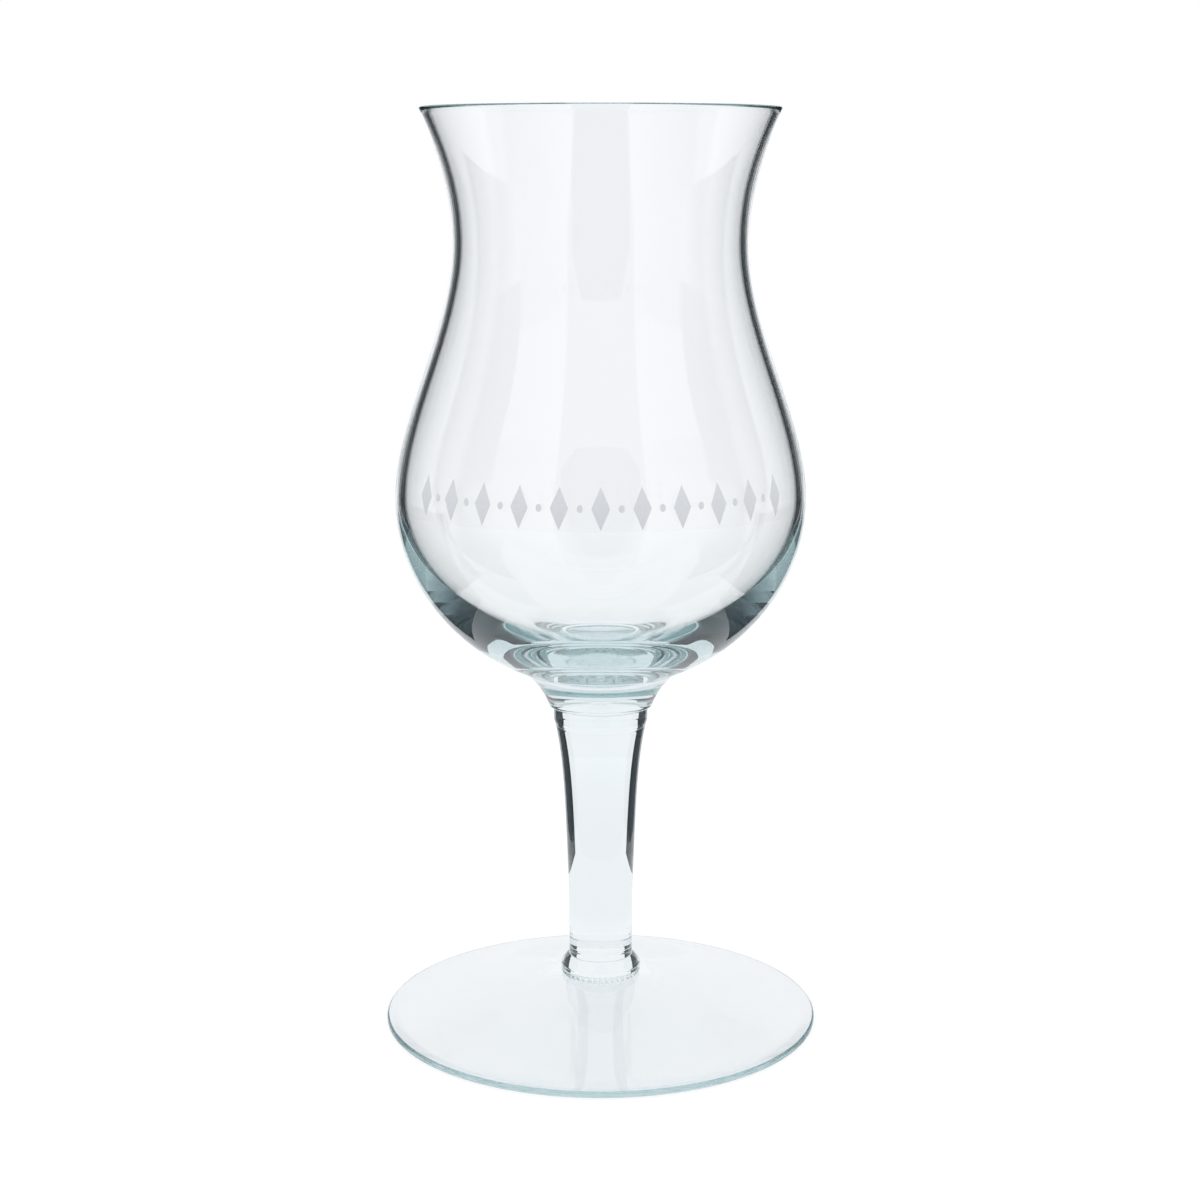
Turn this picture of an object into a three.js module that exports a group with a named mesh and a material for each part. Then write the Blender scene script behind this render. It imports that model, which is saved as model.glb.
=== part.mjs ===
// Stemmed schnapps glass: a waisted bowl on a solid stem, a button of glass and a dished round foot.
// Millimetres, +Z up, the glass stands on z = 0 with its axis on Z.

import * as THREE from 'three';

// Driving dimensions
const HEIGHT = 139.6;           // table to lip
const SEGMENTS = 48;            // sides round the axis

const FOOT_RADIUS = 33.5;
const FOOT_EDGE = 1.0;          // thickness at the rim of the foot
const FOOT_EDGE_SHARE = 0.42;   // corner radius of the rim, as a share of its thickness
const FOOT_RISE = 5.85;         // crown above the rim's upper face
const FOOT_CROWN = 2.75;        // thickness in the middle
const FOOT_RING = 1.4;          // width of the flat ring that stands on the table
const FOOT_CURVE = 1.2;         // 1 is a straight cone, more is hollower near the rim
const FOOT_DOME = 0.55;         // rise of the underside below the button
const FOOT_SEAT = 0.4;          // width of the level ring round the button

const BUTTON_RADIUS = 6.1;
const BUTTON_HEIGHT = 3.2;
const BUTTON_SHOULDER = 1.3;    // height of the sloping upper edge
const BUTTON_EDGE = 0.75;       // height of the rounded lower edge
const BUTTON_TUCK = 0.3;        // drawn in this far where it meets the foot
const BUTTON_SWELL = 0.03;      // the side swells out and in this far
const BUTTON_LEDGE = 0.07;      // stands out this far below the stem

const STEM_RADIUS = 4.88;       // thinnest place
const STEM_LENGTH = 39.85;
const STEM_TOP_RADIUS = 7.18;   // straight collar under the bowl
const STEM_COLLAR = 2.8;
const STEM_COLLAR_EASE = 0.28;  // share of the collar that the shaft takes to run into it
const STEM_EDGE = 0.25;         // height of the rounded upper edge
const STEM_TUCK = 0.15;         // drawn in this far where it meets the bowl
const STEM_SHANK = 6.95;        // where the shaft runs into the collar
const SWELL_START = 0.24;       // share of the shaft that stays slim
const SWELL_BLEND = 0.01;       // softness of the start
const SWELL_POWER = 5;          // how late the fast swelling comes

const BELLY_RADIUS = 30.85;
const BELLY_RISE = 32.4;        // widest place above the top of the stem
const BELLY_DEPTH = 28.95;      // upright half axis of the oval below the widest place
const WAIST_RADIUS = 21.9;
const WAIST_DROP = 19.4;        // waist below the lip
const LIP_RADIUS = 26.5;
const LIP_LEAN = 0.45;          // outward lean of the wall at the lip
const RIM_HIGH = 0.3;           // height of the fire-polished rim
const WALL_BELLY = 1.4;
const WALL_WAIST = 1.25;
const WALL_LIP = 1.1;
const CAVITY_DEPTH = 24.3;      // inside depth of the oval below the widest place
const CAVITY_DIP = 0.55;        // the middle of the floor lies this much deeper
const CAVITY_DIP_RADIUS = 11;
const BASE_RADIUS = 8;          // lower end of the bowl
const BASE_ROUND = 0.45;
const BASE_FLARE = 13;          // radius where the flare runs out into the oval

// Shares of a line's rise over which it keeps the direction of its end
const BELLY_EASE = 0.29;
const WAIST_EASE_BELOW = 0.335;
const WAIST_EASE_ABOVE = 0.37;
const LIP_EASE = 0.32;
const FLARE_EASE_OUT = 0.65;
const FLARE_EASE_DOWN = 0.3;

// Heights of the joints, from the table up
const footTop = FOOT_EDGE + FOOT_RISE;
const buttonTop = footTop + BUTTON_HEIGHT;
const stemTop = buttonTop + STEM_LENGTH;
const bellyZ = stemTop + BELLY_RISE;
const waistZ = HEIGHT - WAIST_DROP;
const buttonNeck = STEM_RADIUS + BUTTON_LEDGE;

const at = (r, z) => new THREE.Vector2(r, z);
const mix = THREE.MathUtils.lerp;

// A closed outline that starts and ends on the axis, turned about Z
function turn(name, outline) {
  const clean = outline.filter((p, i) => i === 0 || p.distanceTo(outline[i - 1]) > 0.02);
  const solid = new THREE.LatheGeometry(clean, SEGMENTS);
  solid.rotateX(Math.PI / 2);
  const glass = new THREE.MeshStandardMaterial({ color: 0xe3eeee, roughness: 0.04, metalness: 0 });
  const mesh = new THREE.Mesh(solid, glass);
  mesh.name = name;
  return mesh;
}

// Arc of an upright oval; the angles are quarter turns, 0 pointing outwards and 1 up
function arc(r, z, wide, high, from, to, steps) {
  const quarter = Math.PI / 2;
  return new THREE.EllipseCurve(r, z, wide, high, from * quarter, to * quarter, to < from).getPoints(steps);
}

// Foot: a thin dished disc. Its underside is hollow, so it stands on a narrow flat ring
function foot() {
  const edgeRound = FOOT_EDGE * FOOT_EDGE_SHARE;
  const ringOuter = FOOT_RADIUS - edgeRound;
  const ringInner = ringOuter - FOOT_RING;
  const seat = BUTTON_RADIUS + FOOT_SEAT;
  const hollow = footTop - FOOT_CROWN;
  const steps = 8;
  const under = [at(0, hollow + FOOT_DOME), at(0.5 * seat, hollow + 0.75 * FOOT_DOME)];
  const over = [];
  for (let i = 0; i <= steps; i += 1) {
    const u = i / steps;
    const fall = Math.pow(1 - u, FOOT_CURVE);
    under.push(at(mix(seat, ringInner, u), hollow * fall));
    over.unshift(at(mix(seat, ringOuter, u), FOOT_EDGE + FOOT_RISE * fall));
  }
  const lower = arc(ringOuter, edgeRound, edgeRound, edgeRound, -1, 0, 4);
  const upper = arc(ringOuter, FOOT_EDGE - edgeRound, edgeRound, edgeRound, 0, 1, 4);
  return turn('foot', [...under, ...lower, ...upper, ...over, at(0, footTop)]);
}

// Button: the small gather that joins stem and foot, nearly straight below and sloping above
function stemButton() {
  const shoulderZ = buttonTop - BUTTON_SHOULDER;
  const side = new THREE.SplineCurve([
    at(BUTTON_RADIUS - BUTTON_TUCK, footTop),
    at(BUTTON_RADIUS, footTop + BUTTON_EDGE),
    at(BUTTON_RADIUS + BUTTON_SWELL, mix(footTop, shoulderZ, 0.6)),
    at(BUTTON_RADIUS - BUTTON_SWELL, shoulderZ),
    at(mix(BUTTON_RADIUS, buttonNeck, 0.55), mix(shoulderZ, buttonTop, 0.62)),
    at(buttonNeck, buttonTop),
  ]).getPoints(10);
  return turn('stem_button', [at(0, footTop), ...side, at(0, buttonTop)]);
}

// Radius of the shaft, from the button at 0 to the collar at 1: slim, then slowly and then fast wider
function shaftRadius(share) {
  const past = (share - SWELL_START) / (1 - SWELL_START);
  const rise = (past + Math.sqrt(past * past + SWELL_BLEND)) / 2;
  return mix(STEM_RADIUS, STEM_SHANK, (rise + rise ** SWELL_POWER) / 2);
}

// Stem: solid, thinnest low down, widening to a short straight collar that carries the bowl
function stem() {
  const collarZ = stemTop - STEM_COLLAR;
  const shaft = [];
  for (let i = 0; i <= 14; i += 1) {
    shaft.push(at(shaftRadius(i / 14), mix(buttonTop, collarZ, i / 14)));
  }
  const collar = [
    at(STEM_TOP_RADIUS, collarZ + STEM_COLLAR_EASE * STEM_COLLAR),
    at(STEM_TOP_RADIUS, stemTop - STEM_EDGE),
    at(STEM_TOP_RADIUS - STEM_TUCK, stemTop),
  ];
  return turn('stem', [at(0, buttonTop), ...shaft, ...collar, at(0, stemTop)]);
}

// Wall of the bowl from the belly past the waist to the lip; the line is upright at belly and waist
function wall(belly, waist, lip, lipZ, steps) {
  const rise = waistZ - bellyZ;
  const flare = lipZ - waistZ;
  const lower = new THREE.CubicBezierCurve(
    at(belly, bellyZ),
    at(belly, bellyZ + BELLY_EASE * rise),
    at(waist, waistZ - WAIST_EASE_BELOW * rise),
    at(waist, waistZ),
  );
  const upper = new THREE.CubicBezierCurve(
    at(waist, waistZ),
    at(waist, waistZ + WAIST_EASE_ABOVE * flare),
    at(lip - LIP_EASE * flare * LIP_LEAN, lipZ - LIP_EASE * flare),
    at(lip, lipZ),
  );
  return [...lower.getPoints(steps), ...upper.getPoints(steps - 2)];
}

// Bowl: blown, with a heavy solid base that narrows to meet the stem
function bowl() {
  const baseZ = stemTop + BASE_ROUND;
  const flareTurn = -Math.acos(BASE_FLARE / BELLY_RADIUS) / (Math.PI / 2);
  const oval = arc(0, bellyZ, BELLY_RADIUS, BELLY_DEPTH, flareTurn, 0, 11);
  const reach = BASE_FLARE - BASE_RADIUS;
  const run = oval[0].clone().sub(at(FLARE_EASE_OUT * reach, FLARE_EASE_DOWN * reach));
  const flare = new THREE.QuadraticBezierCurve(at(BASE_RADIUS, baseZ), run, oval[0]).getPoints(5);
  const base = arc(BASE_RADIUS - BASE_ROUND, baseZ, BASE_ROUND, BASE_ROUND, -1, 0, 3);
  const rimWide = WALL_LIP / 2;
  const rimR = LIP_RADIUS - rimWide;
  const rimZ = HEIGHT - RIM_HIGH;
  const rimLean = Math.atan((LIP_LEAN * RIM_HIGH) / rimWide) / (Math.PI / 2);
  const rimOut = arc(rimR, rimZ, rimWide, RIM_HIGH, -rimLean, 1, 4);
  const rimIn = arc(rimR, rimZ, rimWide, RIM_HIGH, 1, 2 - rimLean, 4);
  const cavity = BELLY_RADIUS - WALL_BELLY;
  const outside = wall(BELLY_RADIUS, WAIST_RADIUS, rimOut[0].x, rimOut[0].y, 9);
  const inside = wall(cavity, WAIST_RADIUS - WALL_WAIST, rimIn.at(-1).x, rimIn.at(-1).y, 8).reverse();
  const floor = arc(0, bellyZ, cavity, CAVITY_DEPTH, 0, -1, 11);
  for (const p of floor) p.y -= CAVITY_DIP * Math.max(0, 1 - (p.x / CAVITY_DIP_RADIUS) ** 2) ** 2;
  const shell = [...base, ...flare, ...oval, ...outside, ...rimOut, ...rimIn, ...inside, ...floor];
  return turn('bowl', [at(0, stemTop), ...shell]);
}

const schnappsGlass = new THREE.Group();
schnappsGlass.name = 'schnapps_glass';
schnappsGlass.add(bowl(), stem(), stemButton(), foot());

export default schnappsGlass;
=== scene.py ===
import math

import bpy
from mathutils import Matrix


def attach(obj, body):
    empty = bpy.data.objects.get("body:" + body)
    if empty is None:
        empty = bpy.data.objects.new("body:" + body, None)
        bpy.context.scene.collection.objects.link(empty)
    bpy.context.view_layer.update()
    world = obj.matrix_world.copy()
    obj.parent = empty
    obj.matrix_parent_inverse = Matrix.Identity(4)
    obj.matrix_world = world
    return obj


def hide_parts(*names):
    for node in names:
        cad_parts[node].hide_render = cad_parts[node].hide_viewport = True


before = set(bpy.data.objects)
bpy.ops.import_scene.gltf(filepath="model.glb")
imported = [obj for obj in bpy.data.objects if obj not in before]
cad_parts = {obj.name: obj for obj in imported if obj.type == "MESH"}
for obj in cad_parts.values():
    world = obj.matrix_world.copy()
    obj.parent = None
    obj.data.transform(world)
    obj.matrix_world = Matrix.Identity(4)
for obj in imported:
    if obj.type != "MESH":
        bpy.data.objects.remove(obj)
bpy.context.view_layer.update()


# Foot: a thin dished disc of pressed soda-lime glass, 67 mm across. Its edge is fire-polished round,
# and it stands on a narrow flat ring because the underside is hollow, up to a low dome in the middle.

MM = 0.001
SIDES = 160                     # round the axis, fine enough to look turned in a close view
WELD_GAP = 0.01                 # each piece stops this short of a joint, so no two faces coincide
MERGE = 1e-6                    # points closer than this are one, in metres

FOOT_RADIUS = 33.5
FOOT_EDGE = 1.0                 # thickness at the rim
FOOT_EDGE_ROUND = 0.42          # corner radius of the rim
FOOT_RISE = 5.85                # crown above the rim's upper face
FOOT_CROWN = 2.75               # thickness round the joint
FOOT_RING = 1.4                 # width of the flat ring that stands on the table
FOOT_CURVE = 1.2                # 1 is a straight cone, more is hollower near the rim
FOOT_BLEND = 0.08               # softness of the dish where it leaves the joint
FOOT_DOME = 0.55                # rise of the underside below the button
FOOT_WELD = 5.8                 # radius where the button is fused on
FOOT_WELD_RING = 3              # ring of points on the flat of that joint
FOOT_STEPS = 60                 # steps along the dish
FOOT_TOP = FOOT_EDGE + FOOT_RISE


def linear(hex_colour):
    """sRGB hex colour as linear RGBA."""
    channels = [int(hex_colour[i:i + 2], 16) / 255 for i in (1, 3, 5)]
    return [c / 12.92 if c <= 0.04045 else ((c + 0.055) / 1.055) ** 2.4 for c in channels] + [1.0]


def add(tree, kind, inputs=None, **settings):
    """Adds a node, sets its properties, and fills its inputs with values or links."""
    node = tree.nodes.new(kind)
    for name, value in settings.items():
        setattr(node, name, value)
    for socket, value in (inputs or {}).items():
        if isinstance(value, bpy.types.NodeSocket):
            tree.links.new(value, node.inputs[socket])
        else:
            node.inputs[socket].default_value = value
    return node


def mix(a, b, share):
    """The value a share of the way from a to b."""
    return a + (b - a) * share


def arc(r, z, wide, high, start, end, steps):
    """Points on an upright oval arc; the angles are quarter turns, 0 pointing outwards."""
    turns = [mix(start, end, i / steps) * math.pi / 2 for i in range(steps + 1)]
    return [(r + wide * math.cos(t), z + high * math.sin(t)) for t in turns]


# Geometry Nodes tree that turns an outline about Z. The tongs that pressed one hot gather onto the
# next left slanting crimps round its lower edge, between the two crimp heights.
turning = bpy.data.node_groups.new("turn_about_axis", "GeometryNodeTree")
turning_inputs = {}
for label, kind in (("Outline", "Geometry"), ("Sides", "Int"), ("Glass", "Material"), ("Crimps", "Int"),
                    ("Crimp depth", "Float"), ("Crimp low", "Float"), ("Crimp high", "Float")):
    socket = turning.interface.new_socket(label, in_out="INPUT", socket_type="NodeSocket" + kind)
    turning_inputs[label] = socket.identifier
turning.interface.new_socket("Solid", in_out="OUTPUT", socket_type="NodeSocketGeometry")

given = add(turning, "NodeGroupInput").outputs
points = add(turning, "GeometryNodeAttributeDomainSize", {0: given["Outline"]}).outputs["Point Count"]
columns = add(turning, "ShaderNodeMath", {0: given["Sides"], 1: 1}, operation="ADD").outputs[0]
sheet = add(turning, "GeometryNodeMeshGrid", {"Vertices X": columns, "Vertices Y": points})
index = add(turning, "GeometryNodeInputIndex").outputs[0]
column = add(turning, "ShaderNodeMath", {0: index, 1: points}, operation="DIVIDE").outputs[0]
column = add(turning, "ShaderNodeMath", {0: column}, operation="FLOOR").outputs[0]
row = add(turning, "ShaderNodeMath", {0: index, 1: points}, operation="MODULO").outputs[0]
place = add(turning, "GeometryNodeInputPosition").outputs[0]
outline_point = add(turning, "GeometryNodeSampleIndex",
                    {"Geometry": given["Outline"], "Value": place, "Index": row},
                    data_type="FLOAT_VECTOR").outputs[0]
share = add(turning, "ShaderNodeMath", {0: column, 1: given["Sides"]}, operation="DIVIDE").outputs[0]
angle = add(turning, "ShaderNodeMath", {0: share, 1: math.tau}, operation="MULTIPLY").outputs[0]
along = add(turning, "ShaderNodeSeparateXYZ", {0: outline_point}).outputs
climb = add(turning, "ShaderNodeMapRange", {"Value": along["Z"], "From Min": given["Crimp low"],
                                            "From Max": given["Crimp high"], "To Max": math.pi}).outputs[0]
band = add(turning, "ShaderNodeMath", {0: climb}, operation="SINE").outputs[0]
phase = add(turning, "ShaderNodeMath", {0: angle, 1: given["Crimps"], 2: climb},
            operation="MULTIPLY_ADD").outputs[0]
wave = add(turning, "ShaderNodeMath", {0: phase}, operation="SINE").outputs[0]
wave = add(turning, "ShaderNodeMath", {0: wave, 1: 0.5, 2: 0.5}, operation="MULTIPLY_ADD").outputs[0]
dent = add(turning, "ShaderNodeMath", {0: wave, 1: band}, operation="MULTIPLY").outputs[0]
dent = add(turning, "ShaderNodeMath", {0: dent, 1: given["Crimp depth"]}, operation="MULTIPLY").outputs[0]
radius = add(turning, "ShaderNodeMath", {0: along["X"], 1: dent}, operation="SUBTRACT").outputs[0]
outline_point = add(turning, "ShaderNodeCombineXYZ", {"X": radius, "Z": along["Z"]}).outputs[0]
turned_point = add(turning, "ShaderNodeVectorRotate", {"Vector": outline_point, "Angle": angle},
                   rotation_type="Z_AXIS").outputs[0]
solid = add(turning, "GeometryNodeSetPosition",
            {"Geometry": sheet.outputs[0], "Position": turned_point}).outputs[0]
solid = add(turning, "GeometryNodeMergeByDistance", {"Geometry": solid, "Distance": MERGE}).outputs[0]
solid = add(turning, "GeometryNodeSetShadeSmooth", {"Geometry": solid}).outputs[0]
solid = add(turning, "GeometryNodeRealizeInstances", {"Geometry": solid}).outputs[0]
solid = add(turning, "GeometryNodeSetMaterial",
            {"Geometry": solid, "Material": given["Glass"]}).outputs[0]
add(turning, "NodeGroupOutput", {0: solid})


def turn(node, outline, glass, sides=SIDES, crimps=0, crimp_depth=0, crimp_low=-2, crimp_high=-1):
    """A solid of glass turned from its outline in millimetres, from the axis round to the axis."""
    line = bpy.data.meshes.new("glass_" + node)
    line.from_pydata([(r * MM, 0, z * MM) for r, z in outline], [], [])
    piece = bpy.data.objects.new("glass_" + node, line)
    bpy.context.scene.collection.objects.link(piece)
    modifier = piece.modifiers.new("turn", "NODES")
    modifier.node_group = turning
    for label, value in (("Sides", sides), ("Glass", glass), ("Crimps", crimps),
                         ("Crimp depth", crimp_depth * MM), ("Crimp low", crimp_low * MM),
                         ("Crimp high", crimp_high * MM)):
        modifier[turning_inputs[label]] = value
    mesh = bpy.data.meshes.new_from_object(piece.evaluated_get(bpy.context.evaluated_depsgraph_get()))
    piece.modifiers.clear()
    piece.data = mesh
    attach(piece, "root")
    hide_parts(node)
    return piece


def soda_lime_glass(name, ripple, upright, slope):
    """Clear glass with a ripple in its skin: its length, how far it is drawn out upright, its slope."""
    glass = bpy.data.materials.new(name)
    glass.use_nodes = True
    nodes = glass.node_tree
    nodes.nodes.clear()
    place = add(nodes, "ShaderNodeTexCoord").outputs["Object"]
    place = add(nodes, "ShaderNodeVectorMath", {0: place, 1: (1, 1, 1 / upright)},
                operation="MULTIPLY").outputs[0]
    wave = add(nodes, "ShaderNodeTexNoise", {"Vector": place, "Scale": 1 / ripple, "Detail": 0}).outputs[0]
    skin = add(nodes, "ShaderNodeBump", {"Height": wave, "Strength": 1.0, "Distance": slope * ripple})
    polish = add(nodes, "ShaderNodeBsdfPrincipled", {
        "Base Color": linear("#ffffff"), "Roughness": 0.0, "IOR": 1.52, "Transmission Weight": 1.0,
        "Normal": skin.outputs[0]})
    tint = add(nodes, "ShaderNodeVolumeAbsorption", {"Color": linear("#90c9cc"), "Density": 10.5})
    add(nodes, "ShaderNodeOutputMaterial", {"Surface": polish.outputs[0], "Volume": tint.outputs[0]})
    return glass


# Pressed soda-lime glass, fire-polished: clear and sharp, with a blue-green tint that shows only
# along the long way through an edge or a thick place, and the faint streaks of a drawn gather.
pressed_glass = soda_lime_glass("pressed_soda_lime_glass", 4 * MM, 4, 0.0012)

ring_outer = FOOT_RADIUS - FOOT_EDGE_ROUND
ring_inner = ring_outer - FOOT_RING
hollow = FOOT_TOP - FOOT_CROWN
foot_seat = FOOT_TOP - WELD_GAP


def foot_fall(share):
    """Height left of the dish from the joint, 0, to the rim, 1; it leaves the joint level."""
    run = share ** 2 / (share + FOOT_BLEND) * (1 + FOOT_BLEND)
    return (1 - min(run, 1)) ** FOOT_CURVE


shares = [i / FOOT_STEPS for i in range(FOOT_STEPS + 1)]
foot_outline = [(FOOT_WELD * u, hollow + FOOT_DOME * (1 - u * u)) for u in shares[:-1:5]]
foot_outline += [(mix(FOOT_WELD, ring_inner, u), hollow * (1 - u) ** FOOT_CURVE) for u in shares]
foot_outline += [(mix(ring_inner, ring_outer, 0.5), 0)]
foot_outline += arc(ring_outer, FOOT_EDGE_ROUND, FOOT_EDGE_ROUND, FOOT_EDGE_ROUND, -1, 0, 10)
foot_outline += arc(ring_outer, FOOT_EDGE - FOOT_EDGE_ROUND, FOOT_EDGE_ROUND, FOOT_EDGE_ROUND, 0, 1, 10)
foot_outline += [(mix(FOOT_WELD, ring_outer, u), mix(FOOT_EDGE, foot_seat, foot_fall(u)))
                 for u in reversed(shares[:-1])]
foot_outline += [(FOOT_WELD_RING, foot_seat), (0, foot_seat)]
turn("foot", foot_outline, pressed_glass)


# Stem button: the small gather of glass between stem and foot. It was pressed hot onto the foot, so
# its lower edge is rounded in, and a crease shows where the stem was set into its sloping top.

BUTTON_RADIUS, BUTTON_HEIGHT = 6.1, 3.2
BUTTON_SHOULDER = 1.3           # height of the sloping upper edge
BUTTON_NECK = 4.95              # radius of the crease, where the stem is fused on
NECK_RING = 2.5                 # ring of points on the flat of that joint
BUTTON_EDGE = 0.75              # height of the rounded lower edge
BUTTON_SWELL = 0.03             # the side swells out this far
BUTTON_DRAW = 0.04              # and is drawn in this far at the shoulder
CORNER = 0.03                   # a narrow band inside a sharp edge keeps a flat face flat to the eye
CRIMPS, CRIMP_DEPTH, CRIMP_HEIGHT = 40, 0.5, 1.0
CRIMP_SIDES = 10 * CRIMPS       # fine enough to draw every crimp round
BUTTON_TOP = FOOT_TOP + BUTTON_HEIGHT


def through(stations, steps):
    """A smooth line through the stations."""
    line = []
    for i in range(len(stations) - 1):
        a, b = stations[max(i - 1, 0)], stations[i]
        c, d = stations[i + 1], stations[min(i + 2, len(stations) - 1)]
        for n in range(steps):
            t = n / steps
            line.append(tuple(
                0.5 * (2 * q + (s - p) * t + (2 * p - 5 * q + 4 * s - e) * t * t
                       + (3 * q - p - 3 * s + e) * t ** 3) for p, q, s, e in zip(a, b, c, d)))
    return line + [stations[-1]]


def flat(edge, ring, z):
    """A flat face from the axis out to its edge, with one ring of points on the way."""
    return [(0, z), (ring, z), (edge, z)]


button_low, button_high = FOOT_TOP + WELD_GAP, BUTTON_TOP - WELD_GAP
shoulder_z = BUTTON_TOP - BUTTON_SHOULDER
button_side = through([
    (BUTTON_RADIUS, FOOT_TOP + BUTTON_EDGE),
    (BUTTON_RADIUS + BUTTON_SWELL, mix(FOOT_TOP, shoulder_z, 0.7)),
    (BUTTON_RADIUS - BUTTON_DRAW, shoulder_z),
    (mix(BUTTON_RADIUS, BUTTON_NECK, 0.55), mix(shoulder_z, BUTTON_TOP, 0.62)),
    (BUTTON_NECK, button_high)], 8)
button_outline = flat(FOOT_WELD - CORNER, FOOT_WELD_RING, button_low)
button_outline += arc(FOOT_WELD, FOOT_TOP + BUTTON_EDGE, BUTTON_RADIUS - FOOT_WELD,
                      BUTTON_EDGE - WELD_GAP, -1, 0, 12)
button_outline += button_side[1:] + flat(BUTTON_NECK - CORNER, NECK_RING, button_high)[::-1]
turn("stem_button", button_outline, pressed_glass, CRIMP_SIDES, CRIMPS, CRIMP_DEPTH, button_low,
     FOOT_TOP + CRIMP_HEIGHT)


# Stem: solid pressed glass, thinnest low down, that widens to a short straight collar under the bowl.
# The mould left a fine ring at the lower end of the collar and another just above the button.

STEM_RADIUS, STEM_LENGTH = 4.88, 39.85
STEM_TOP_RADIUS, STEM_COLLAR = 7.18, 2.8    # straight collar under the bowl and its height
STEM_SHANK = 6.95               # radius where the shaft runs into the collar
STEM_WELD = 7.03                # radius where the bowl is fused on
STEM_WELD_RING = 3.5            # ring of points on the flat of that joint
STEM_EDGE = 0.25                # height of the rounded upper edge
STEM_CORNER = 0.04              # radius of the lower edge
SWELL_START = 0.24              # share of the shaft that stays slim
SWELL_BLEND, SWELL_POWER = 0.01, 5          # softness of the start, and how late the fast swelling comes
COLLAR_RUN = 1.0                # height in which the shaft runs into the collar
COLLAR_LEAVE, COLLAR_MEET = 0.35, 0.55      # heights at which that line bends
COLLAR_BANDS = 0.8, 0.5         # below the top, to keep the collar straight to the eye
RING_DEPTH, RING_WIDTH = 0.05, 0.12
LOW_RING, HIGH_RING = 1.15, 0.25            # above the button, and below the collar
STEM_TOP = BUTTON_TOP + STEM_LENGTH

stem_low, stem_high = BUTTON_TOP + WELD_GAP, STEM_TOP - WELD_GAP
collar_z = STEM_TOP - STEM_COLLAR
ring_heights = (stem_low + LOW_RING, collar_z - HIGH_RING)


def stem_radius(z):
    """The stem swells slowly at first and fast near the collar; the mould rings are fine grooves."""
    rise = ((z - stem_low) / (collar_z - stem_low) - SWELL_START) / (1 - SWELL_START)
    rise = (rise + math.sqrt(rise * rise + SWELL_BLEND)) / 2
    groove = sum(RING_DEPTH * math.exp(-((z - ring) / RING_WIDTH) ** 2) for ring in ring_heights)
    return STEM_RADIUS + (STEM_SHANK - STEM_RADIUS) * (rise + rise ** SWELL_POWER) / 2 - groove


def bezier(controls, steps):
    """Points on a Bezier line with any number of controls."""
    line = []
    for i in range(steps + 1):
        level = list(controls)
        while len(level) > 1:
            level = [tuple(mix(a, b, i / steps) for a, b in zip(p, q))
                     for p, q in zip(level, level[1:])]
        line.append(level[0])
    return line


shaft_heights = [mix(stem_low + STEM_CORNER, collar_z, i / 90) for i in range(91)]
shaft_heights += [ring + RING_WIDTH * i / 3 for ring in ring_heights for i in range(-6, 7)]
shaft = [(stem_radius(z), z) for z in sorted(shaft_heights) if z <= collar_z]
slope = (shaft[-1][0] - shaft[-2][0]) / (shaft[-1][1] - shaft[-2][1])
collar = bezier([
    shaft[-1], (shaft[-1][0] + COLLAR_LEAVE * slope, collar_z + COLLAR_LEAVE),
    (STEM_TOP_RADIUS, collar_z + COLLAR_MEET), (STEM_TOP_RADIUS, collar_z + COLLAR_RUN)], 16)
stem_foot = shaft[0][0] - STEM_CORNER
stem_outline = flat(shaft[0][0] - 2 * CORNER, NECK_RING, stem_low)
stem_outline += arc(stem_foot, stem_low + STEM_CORNER, STEM_CORNER, STEM_CORNER, -1, 0, 4)
stem_outline += shaft[1:] + collar[1:]
stem_outline += [(STEM_TOP_RADIUS, STEM_TOP - drop) for drop in COLLAR_BANDS]
stem_outline += arc(STEM_WELD, STEM_TOP - STEM_EDGE, STEM_TOP_RADIUS - STEM_WELD, STEM_EDGE - WELD_GAP,
                    0, 1, 6)
stem_outline += flat(STEM_WELD - CORNER, STEM_WELD_RING, stem_high)[::-1]
turn("stem", stem_outline, pressed_glass)


# Bowl: blown glass with a heavy solid base that narrows to the stem, a round belly, a waist and a
# flared lip. The rim is fire-polished round, and the wall is a little over 1 mm thick.

HEIGHT = 139.6                  # table to lip
BELLY_RADIUS, BELLY_RISE = 30.85, 32.4      # widest place, and its height above the stem
BELLY_DEPTH = 28.95             # upright half axis of the oval below the widest place
WAIST_RADIUS, WAIST_DROP = 21.9, 19.4       # waist, and its depth below the lip
LIP_RADIUS, LIP_LEAN = 26.5, 0.45           # lip, and the outward lean of the wall there
RIM_HIGH = 0.3                  # height of the fire-polished rim
WALL_BELLY, WALL_WAIST, WALL_LIP = 1.4, 1.25, 1.1
CAVITY_DEPTH = 24.3             # inside depth of the oval below the widest place
CAVITY_DIP, CAVITY_DIP_RADIUS = 0.55, 11    # the middle of the floor lies this much deeper
BASE_RADIUS, BASE_ROUND = 8, 0.45           # lower end of the bowl and its rounding
BASE_FLARE = 13                 # radius where the flare runs out into the oval

# Shares of a line's rise over which it keeps the direction of its end
BELLY_EASE, WAIST_EASE_BELOW, WAIST_EASE_ABOVE, LIP_EASE = 0.29, 0.335, 0.37, 0.32
FLARE_EASE_OUT, FLARE_EASE_DOWN = 0.65, 0.3

belly_z, waist_z = STEM_TOP + BELLY_RISE, HEIGHT - WAIST_DROP


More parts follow.
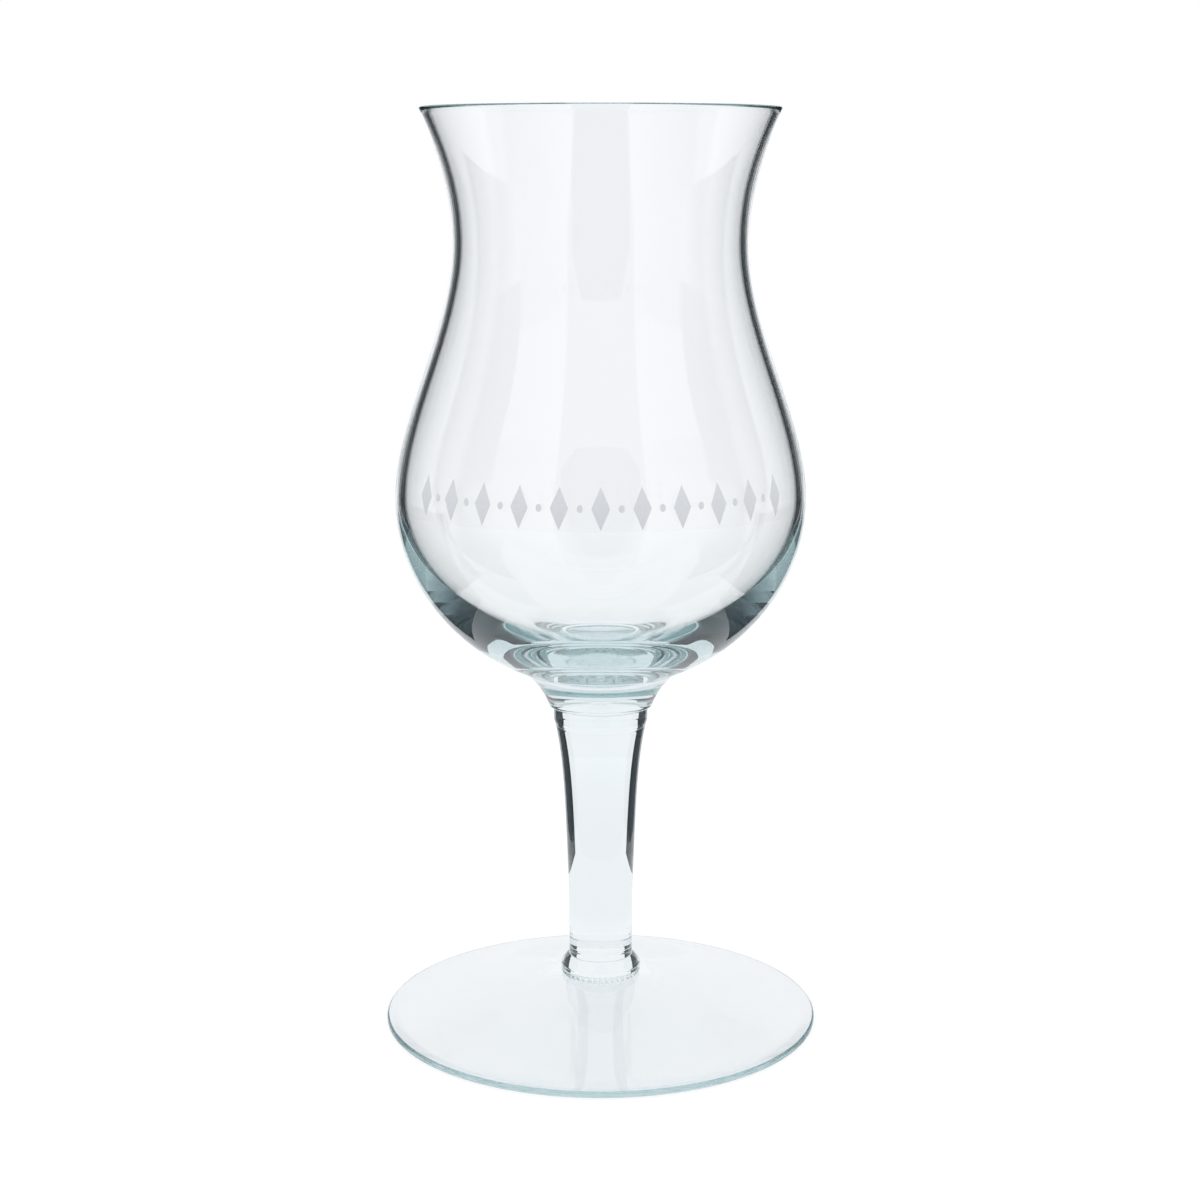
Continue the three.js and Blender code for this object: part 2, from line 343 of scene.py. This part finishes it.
def wall(belly, waist, lip, lip_z):
    """The wall's line from the belly past the waist to the lip; it is upright at belly and waist."""
    rise, flare = waist_z - belly_z, lip_z - waist_z
    lower = bezier([(belly, belly_z), (belly, belly_z + BELLY_EASE * rise),
                    (waist, waist_z - WAIST_EASE_BELOW * rise), (waist, waist_z)], 48)
    upper = bezier([(waist, waist_z), (waist, waist_z + WAIST_EASE_ABOVE * flare),
                    (lip - LIP_EASE * flare * LIP_LEAN, lip_z - LIP_EASE * flare), (lip, lip_z)], 28)
    return lower[1:] + upper[1:]


bowl_low = STEM_TOP + WELD_GAP
base_z = STEM_TOP + BASE_ROUND
flare_turn = -math.acos(BASE_FLARE / BELLY_RADIUS) / (math.pi / 2)
oval = arc(0, belly_z, BELLY_RADIUS, BELLY_DEPTH, flare_turn, 0, 48)
reach_out = BASE_FLARE - BASE_RADIUS
flare_run = (oval[0][0] - FLARE_EASE_OUT * reach_out, oval[0][1] - FLARE_EASE_DOWN * reach_out)
rim_wide = WALL_LIP / 2
rim_lean = math.atan(LIP_LEAN * RIM_HIGH / rim_wide) / (math.pi / 2)
rim = arc(LIP_RADIUS - rim_wide, HEIGHT - RIM_HIGH, rim_wide, RIM_HIGH, -rim_lean, 2 - rim_lean, 24)
cavity = BELLY_RADIUS - WALL_BELLY

bowl_outline = flat(STEM_WELD, STEM_WELD_RING, bowl_low)
bowl_outline += arc(BASE_RADIUS - BASE_ROUND, base_z, BASE_ROUND, BASE_ROUND - WELD_GAP, -1, 0, 6)
bowl_outline += bezier([(BASE_RADIUS, base_z), flare_run, oval[0]], 16)[1:]
bowl_outline += oval[1:] + wall(BELLY_RADIUS, WAIST_RADIUS, *rim[0])
bowl_outline += rim[1:]
bowl_outline += wall(cavity, WAIST_RADIUS - WALL_WAIST, *rim[-1])[-2::-1]
bowl_outline += [(r, z - CAVITY_DIP * max(0, 1 - (r / CAVITY_DIP_RADIUS) ** 2) ** 2)
                 for r, z in arc(0, belly_z, cavity, CAVITY_DEPTH, 0, -1, 80)]
bowl_outline[-1] = (0, bowl_outline[-1][1])

# Blown soda-lime glass: as clear as the pressed glass, with a longer, fainter ripple that lets the
# reflections waver a little.
blown_glass = soda_lime_glass("blown_soda_lime_glass", 9 * MM, 1.5, 0.001)
bowl = turn("bowl", bowl_outline, blown_glass)


# Enamel band: a row of plain lozenges and dots round the front of the belly, printed in white enamel
# and fired on. It is a film a few hundredths of a millimetre thick that follows the belly's curve.

BAND_MOTIFS, BAND_SPREAD = 11, math.radians(108)
BAND_HEIGHT = 85                # middle of the band above the table
LOZENGE_WIDTH, LOZENGE_HEIGHT, DOT_RADIUS = 3.4, 6.0, 0.55
FILM_LIFT, FILM_THICKNESS = 0.02, 0.03      # clear of the glass, and the film itself
BAND_REACH = 40                 # the motifs are laid on the belly from this far out

# Fired white enamel: ground glass melted to a satin skin, pale and matt with a faint grain. The real
# grain of a few hundredths of a millimetre is drawn at 0.3 mm so that it shows.
ENAMEL_GRAIN = 0.3 * MM
enamel = bpy.data.materials.new("fired_white_enamel")
enamel.use_nodes = True
nodes = enamel.node_tree
nodes.nodes.clear()
place = add(nodes, "ShaderNodeTexCoord").outputs["Object"]
grain = add(nodes, "ShaderNodeTexNoise", {
    "Vector": place, "Scale": 1 / ENAMEL_GRAIN, "Detail": 2}).outputs[0]
shade = add(nodes, "ShaderNodeMix", {0: grain, 6: linear("#e4e7ea"), 7: linear("#f4f6f7")},
            data_type="RGBA").outputs[2]
satin = add(nodes, "ShaderNodeMapRange", {"Value": grain, "To Min": 0.4, "To Max": 0.6}).outputs[0]
raised = add(nodes, "ShaderNodeBump", {
    "Height": grain, "Strength": 0.15, "Distance": 0.02 * MM}).outputs[0]
skin = add(nodes, "ShaderNodeBsdfPrincipled", {
    "Base Color": shade, "Roughness": satin, "IOR": 1.5, "Normal": raised})
add(nodes, "ShaderNodeOutputMaterial", {"Surface": skin.outputs[0]})

# Geometry Nodes tree that sets the motifs out along an arc, lays them on the belly and gives the
# film its thickness.
banding = bpy.data.node_groups.new("enamel_band", "GeometryNodeTree")
banding_inputs = {}
for label, kind in (("Belly", "Object"), ("Motifs", "Int"), ("Spread", "Float"), ("Reach", "Float"),
                    ("Height", "Float"), ("Lozenge width", "Float"), ("Lozenge height", "Float"),
                    ("Dot radius", "Float"), ("Lift", "Float"), ("Thickness", "Float"),
                    ("Enamel", "Material")):
    socket = banding.interface.new_socket(label, in_out="INPUT", socket_type="NodeSocket" + kind)
    banding_inputs[label] = socket.identifier
banding.interface.new_socket("Film", in_out="OUTPUT", socket_type="NodeSocketGeometry")

given = add(banding, "NodeGroupInput").outputs
UPRIGHT = (math.pi / 2, 0, math.pi / 2)     # turns a flat motif to stand up and face outwards
lozenge = add(banding, "GeometryNodeMeshGrid", {
    "Size X": math.sqrt(0.5), "Size Y": math.sqrt(0.5), "Vertices X": 9, "Vertices Y": 9}).outputs[0]
lozenge = add(banding, "GeometryNodeTransform", {
    "Geometry": lozenge, "Rotation": (0, 0, math.pi / 4)}).outputs[0]
extent = add(banding, "ShaderNodeCombineXYZ", {
    "X": given["Lozenge width"], "Y": given["Lozenge height"], "Z": 1.0}).outputs[0]
lozenge = add(banding, "GeometryNodeTransform", {
    "Geometry": lozenge, "Rotation": UPRIGHT, "Scale": extent}).outputs[0]
dot = add(banding, "GeometryNodeMeshCircle", {"Vertices": 20, "Radius": given["Dot radius"]},
          fill_type="TRIANGLE_FAN").outputs[0]
dot = add(banding, "GeometryNodeTransform", {"Geometry": dot, "Rotation": UPRIGHT}).outputs[0]
gaps = add(banding, "ShaderNodeMath", {0: given["Motifs"], 1: 1}, operation="SUBTRACT").outputs[0]
pitch = add(banding, "ShaderNodeMath", {0: given["Spread"], 1: gaps}, operation="DIVIDE").outputs[0]
start = add(banding, "ShaderNodeCombineXYZ", {"X": given["Reach"], "Z": given["Height"]}).outputs[0]
index = add(banding, "GeometryNodeInputIndex").outputs[0]
rows = []
for motif, count in ((lozenge, given["Motifs"]), (dot, gaps)):
    last = add(banding, "ShaderNodeMath", {0: count, 1: 1}, operation="SUBTRACT").outputs[0]
    middle = add(banding, "ShaderNodeMath", {0: last, 1: 0.5}, operation="MULTIPLY").outputs[0]
    step = add(banding, "ShaderNodeMath", {0: index, 1: middle}, operation="SUBTRACT").outputs[0]
    angle = add(banding, "ShaderNodeMath", {0: step, 1: pitch, 2: -math.pi / 2},
                operation="MULTIPLY_ADD").outputs[0]
    spot = add(banding, "ShaderNodeVectorRotate", {"Vector": start, "Angle": angle},
               rotation_type="Z_AXIS").outputs[0]
    line = add(banding, "GeometryNodeMeshLine", {"Count": count}).outputs[0]
    line = add(banding, "GeometryNodeSetPosition", {"Geometry": line, "Position": spot}).outputs[0]
    facing = add(banding, "ShaderNodeCombineXYZ", {"Z": angle}).outputs[0]
    rows.append(add(banding, "GeometryNodeInstanceOnPoints", {
        "Points": line, "Instance": motif, "Rotation": facing}).outputs[0])
row_of_motifs = add(banding, "GeometryNodeJoinGeometry").inputs[0]
for motifs in rows:
    banding.links.new(motifs, row_of_motifs)
laid = add(banding, "GeometryNodeRealizeInstances", {
    "Geometry": row_of_motifs.node.outputs[0]}).outputs[0]
belly = add(banding, "GeometryNodeObjectInfo", {"Object": given["Belly"]}).outputs["Geometry"]
place = add(banding, "GeometryNodeInputPosition").outputs[0]
inwards = add(banding, "ShaderNodeVectorMath", {0: place, 1: (-1, -1, 0)},
              operation="MULTIPLY").outputs[0]
inwards = add(banding, "ShaderNodeVectorMath", {0: inwards}, operation="NORMALIZE").outputs[0]
hit = add(banding, "GeometryNodeRaycast", {
    "Target Geometry": belly, "Ray Direction": inwards, "Ray Length": 1.0}).outputs
raised = add(banding, "ShaderNodeVectorMath", {0: hit["Hit Normal"], "Scale": given["Lift"]},
             operation="SCALE").outputs[0]
seat = add(banding, "ShaderNodeVectorMath", {0: hit["Hit Position"], 1: raised},
           operation="ADD").outputs[0]
laid = add(banding, "GeometryNodeSetPosition", {"Geometry": laid, "Position": seat}).outputs[0]
film = add(banding, "GeometryNodeExtrudeMesh", {
    "Mesh": laid, "Offset Scale": given["Thickness"], "Individual": False}).outputs[0]
under = add(banding, "GeometryNodeFlipFaces", {"Mesh": laid}).outputs[0]
closed = add(banding, "GeometryNodeJoinGeometry").inputs[0]
for part in (film, under):
    banding.links.new(part, closed)
film = add(banding, "GeometryNodeMergeByDistance", {
    "Geometry": closed.node.outputs[0], "Distance": MERGE}).outputs[0]
film = add(banding, "GeometryNodeRealizeInstances", {"Geometry": film}).outputs[0]
film = add(banding, "GeometryNodeSetMaterial", {
    "Geometry": film, "Material": given["Enamel"]}).outputs[0]
add(banding, "NodeGroupOutput", {0: film})

band = bpy.data.objects.new("enamel_band", bpy.data.meshes.new("enamel_band"))
bpy.context.scene.collection.objects.link(band)
modifier = band.modifiers.new("band", "NODES")
modifier.node_group = banding
for label, value in (("Belly", bowl), ("Motifs", BAND_MOTIFS), ("Spread", BAND_SPREAD),
                     ("Reach", BAND_REACH * MM), ("Height", BAND_HEIGHT * MM),
                     ("Lozenge width", LOZENGE_WIDTH * MM), ("Lozenge height", LOZENGE_HEIGHT * MM),
                     ("Dot radius", DOT_RADIUS * MM), ("Lift", FILM_LIFT * MM),
                     ("Thickness", FILM_THICKNESS * MM), ("Enamel", enamel)):
    modifier[banding_inputs[label]] = value
mesh = bpy.data.meshes.new_from_object(band.evaluated_get(bpy.context.evaluated_depsgraph_get()))
band.modifiers.clear()
band.data = mesh
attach(band, "root")


# Table and backdrop: a plain white table under an even white studio. The table is lit by the studio
# and lifted to the backdrop's white for the eye, a shade less through glass, and keeps the shadow.
# Through glass it carries painted light: a painted pool of light under the foot, and painted
# brightness that grows with distance from the glass.

TABLE_SIZE, TABLE_Z = 0.66, -0.05 * MM
EYE_LIFT = 0.76                             # lift to white for the camera
NEAR_TABLE, FAR_TABLE = 0.1, 0.3            # between these distances the painted light in glass grows brighter
NEAR_LIFT, FAR_LIFT = 0.66, 0.725
POOL_EDGE, POOL_END, PAINTED_POOL_LIFT = 0.03, 0.05, 0.09   # painted pool of light under the foot, seen through glass: edge and end in metres, and its lift
table_mesh = bpy.data.meshes.new("table")
half = TABLE_SIZE / 2
table_mesh.from_pydata([(-half, -half, TABLE_Z), (half, -half, TABLE_Z), (half, half, TABLE_Z),
                        (-half, half, TABLE_Z)], [], [(0, 1, 2, 3)])
table = bpy.data.objects.new("table", table_mesh)
bpy.context.scene.collection.objects.link(table)
white_table = bpy.data.materials.new("matt_white_table")
white_table.use_nodes = True
nodes = white_table.node_tree
nodes.nodes.clear()
ray = add(nodes, "ShaderNodeLightPath").outputs
in_glass = add(nodes, "ShaderNodeMath", {0: ray["Is Glossy Ray"], 1: ray["Is Transmission Ray"]},
               operation="MAXIMUM").outputs[0]
spot = add(nodes, "ShaderNodeTexCoord").outputs["Object"]
far = add(nodes, "ShaderNodeVectorMath", {0: spot}, operation="LENGTH").outputs["Value"]
# Painted pool of light: seen through glass, the table is lifted brighter under the foot.
painted_pool = add(nodes, "ShaderNodeMapRange", {"Value": far, "From Min": POOL_EDGE, "From Max": POOL_END,
                                         "To Min": PAINTED_POOL_LIFT, "To Max": 0.0}).outputs[0]
# Painted light: seen through glass, the table grows brighter with distance from the glass.
painted_distance_lift = add(nodes, "ShaderNodeMapRange", {"Value": far, "From Min": NEAR_TABLE, "From Max": FAR_TABLE,
                                            "To Min": NEAR_LIFT, "To Max": FAR_LIFT}).outputs[0]
bright = add(nodes, "ShaderNodeMath", {0: painted_pool, 1: painted_distance_lift}, operation="ADD").outputs[0]
in_glass = add(nodes, "ShaderNodeMath", {0: in_glass, 1: bright}, operation="MULTIPLY").outputs[0]
lift = add(nodes, "ShaderNodeMath", {0: ray["Is Camera Ray"], 1: EYE_LIFT, 2: in_glass},
           operation="MULTIPLY_ADD").outputs[0]
cool = add(nodes, "ShaderNodeMix", {0: ray["Is Camera Ray"], 6: linear("#f9fcff"), 7: linear("#ffffff")},
           data_type="RGBA").outputs[2]
matt = add(nodes, "ShaderNodeBsdfPrincipled", {
    "Base Color": linear("#959595"), "Roughness": 0.9, "Specular IOR Level": 0.0,
    "Emission Color": cool, "Emission Strength": lift})
add(nodes, "ShaderNodeOutputMaterial", {"Surface": matt.outputs[0]})
table_mesh.materials.append(white_table)

studio = bpy.data.worlds.new("white_studio")
bpy.context.scene.world = studio
studio.use_nodes = True
nodes = studio.node_tree
nodes.nodes.clear()
ray = add(nodes, "ShaderNodeLightPath").outputs
cool = add(nodes, "ShaderNodeBackground", {"Color": linear("#fbfcff"), "Strength": 1.0}).outputs[0]
white = add(nodes, "ShaderNodeBackground", {"Color": linear("#ffffff"), "Strength": 1.0}).outputs[0]
light = add(nodes, "ShaderNodeMixShader", {0: ray["Is Camera Ray"], 1: cool, 2: white}).outputs[0]
add(nodes, "ShaderNodeOutputWorld", {"Surface": light})


# Camera: it stands a little below the lip and is tilted down, as the photograph's ellipses of lip and
# foot give it.

CAMERA_TILT = 11.205            # degrees down from level
camera_data = bpy.data.cameras.new("camera")
camera = bpy.data.objects.new("camera", camera_data)
bpy.context.scene.collection.objects.link(camera)
camera_data.sensor_width, camera_data.lens = 36, 67.55
camera.location = (-0.0001, -0.336, 0.1328)
camera.rotation_euler = (math.radians(90 - CAMERA_TILT), 0, 0)
camera_data.clip_start, camera_data.clip_end = 0.01, 20
bpy.context.scene.camera = camera
bpy.context.view_layer.update()


# Studio cards: black cards and two soft lights as a photographer stands them round a glass, so that
# its edges draw dark against the white. They go round with the camera, and only the glass shows them.

card_paper = bpy.data.materials.new("studio_card")
card_paper.use_nodes = True
nodes = card_paper.node_tree
nodes.nodes.clear()
glow = add(nodes, "ShaderNodeAttribute", attribute_name="glow").outputs["Fac"]
bounced = add(nodes, "ShaderNodeLightPath").outputs["Diffuse Depth"]
bounced = add(nodes, "ShaderNodeMath", {0: bounced, 1: 0.5}, operation="GREATER_THAN").outputs[0]
shade = add(nodes, "ShaderNodeMath", {0: glow, 1: bounced}, operation="MAXIMUM").outputs[0]
cool = add(nodes, "ShaderNodeMix", {0: glow, 6: linear("#dcf0ff"), 7: linear("#ffffff")},
           data_type="RGBA").outputs[2]
shown = add(nodes, "ShaderNodeEmission", {"Color": cool, "Strength": shade}).outputs[0]
add(nodes, "ShaderNodeOutputMaterial", {"Surface": shown})

BLACK, ROOM = 0.06, 0.45        # brightness of a black card, and of the room behind the camera
LAMP, FADE = 0.95, 0.65         # brightness of a soft light at its near and far edge

# Right-hand card of each pair: its corners in millimetres, and its brightness at the first and last
# corner and at the two between them
cards = [
    ("near_low", [(55, 73, 2.5), (85, -14, 2.5), (85, -14, 75), (60.5, 69, 75)], BLACK / 3, 2 * BLACK),
    ("near_back", [(60.5, 69, 75), (70, 38, 75), (68, 38, 155), (41, 71, 155)], BLACK, BLACK),
    ("near_side", [(70, 38, 75), (85, -14, 75), (85, -14, 155), (68, 38, 155)], BLACK, LAMP),
    ("behind", [(0, -500, 1), (233, -500, 1), (233, -500, 2500), (0, -500, 2500)], ROOM, ROOM),
    ("apron", [(0, -500, 1), (233, -500, 1), (45, -140, 1), (0, -140, 1)], ROOM, ROOM),
    ("softbox", [(233, -500, 1), (550, -50, 1), (550, -50, 2500), (233, -500, 2500)], LAMP, FADE),
    ("table_glow", [(233, -500, 1), (550, -50, 1), (140, -13, 1), (45, -140, 1)], LAMP, FADE),
]
for label, corners, first, second in cards:
    for side in (-1, 1):
        mesh = bpy.data.meshes.new("card_" + label)
        mesh.from_pydata([(side * x * MM, y * MM, z * MM) for x, y, z in corners], [], [(0, 1, 2, 3)])
        mesh.attributes.new("glow", "FLOAT", "POINT").data.foreach_set(
            "value", [first, second, second, first])
        mesh.materials.append(card_paper)
        card = bpy.data.objects.new("card_%s_%d" % (label, side), mesh)
        bpy.context.scene.collection.objects.link(card)
        card.parent = camera
        card.matrix_parent_inverse = camera.matrix_world.inverted()
        card.visible_camera = card.visible_diffuse = card.visible_shadow = False


# View transform and bounces

BOUNCES = 128                   # enough for light to find its way out of the thick base
scene = bpy.context.scene
scene.view_settings.view_transform = "Standard"
scene.cycles.max_bounces = BOUNCES
scene.cycles.transmission_bounces = BOUNCES
scene.cycles.glossy_bounces = BOUNCES
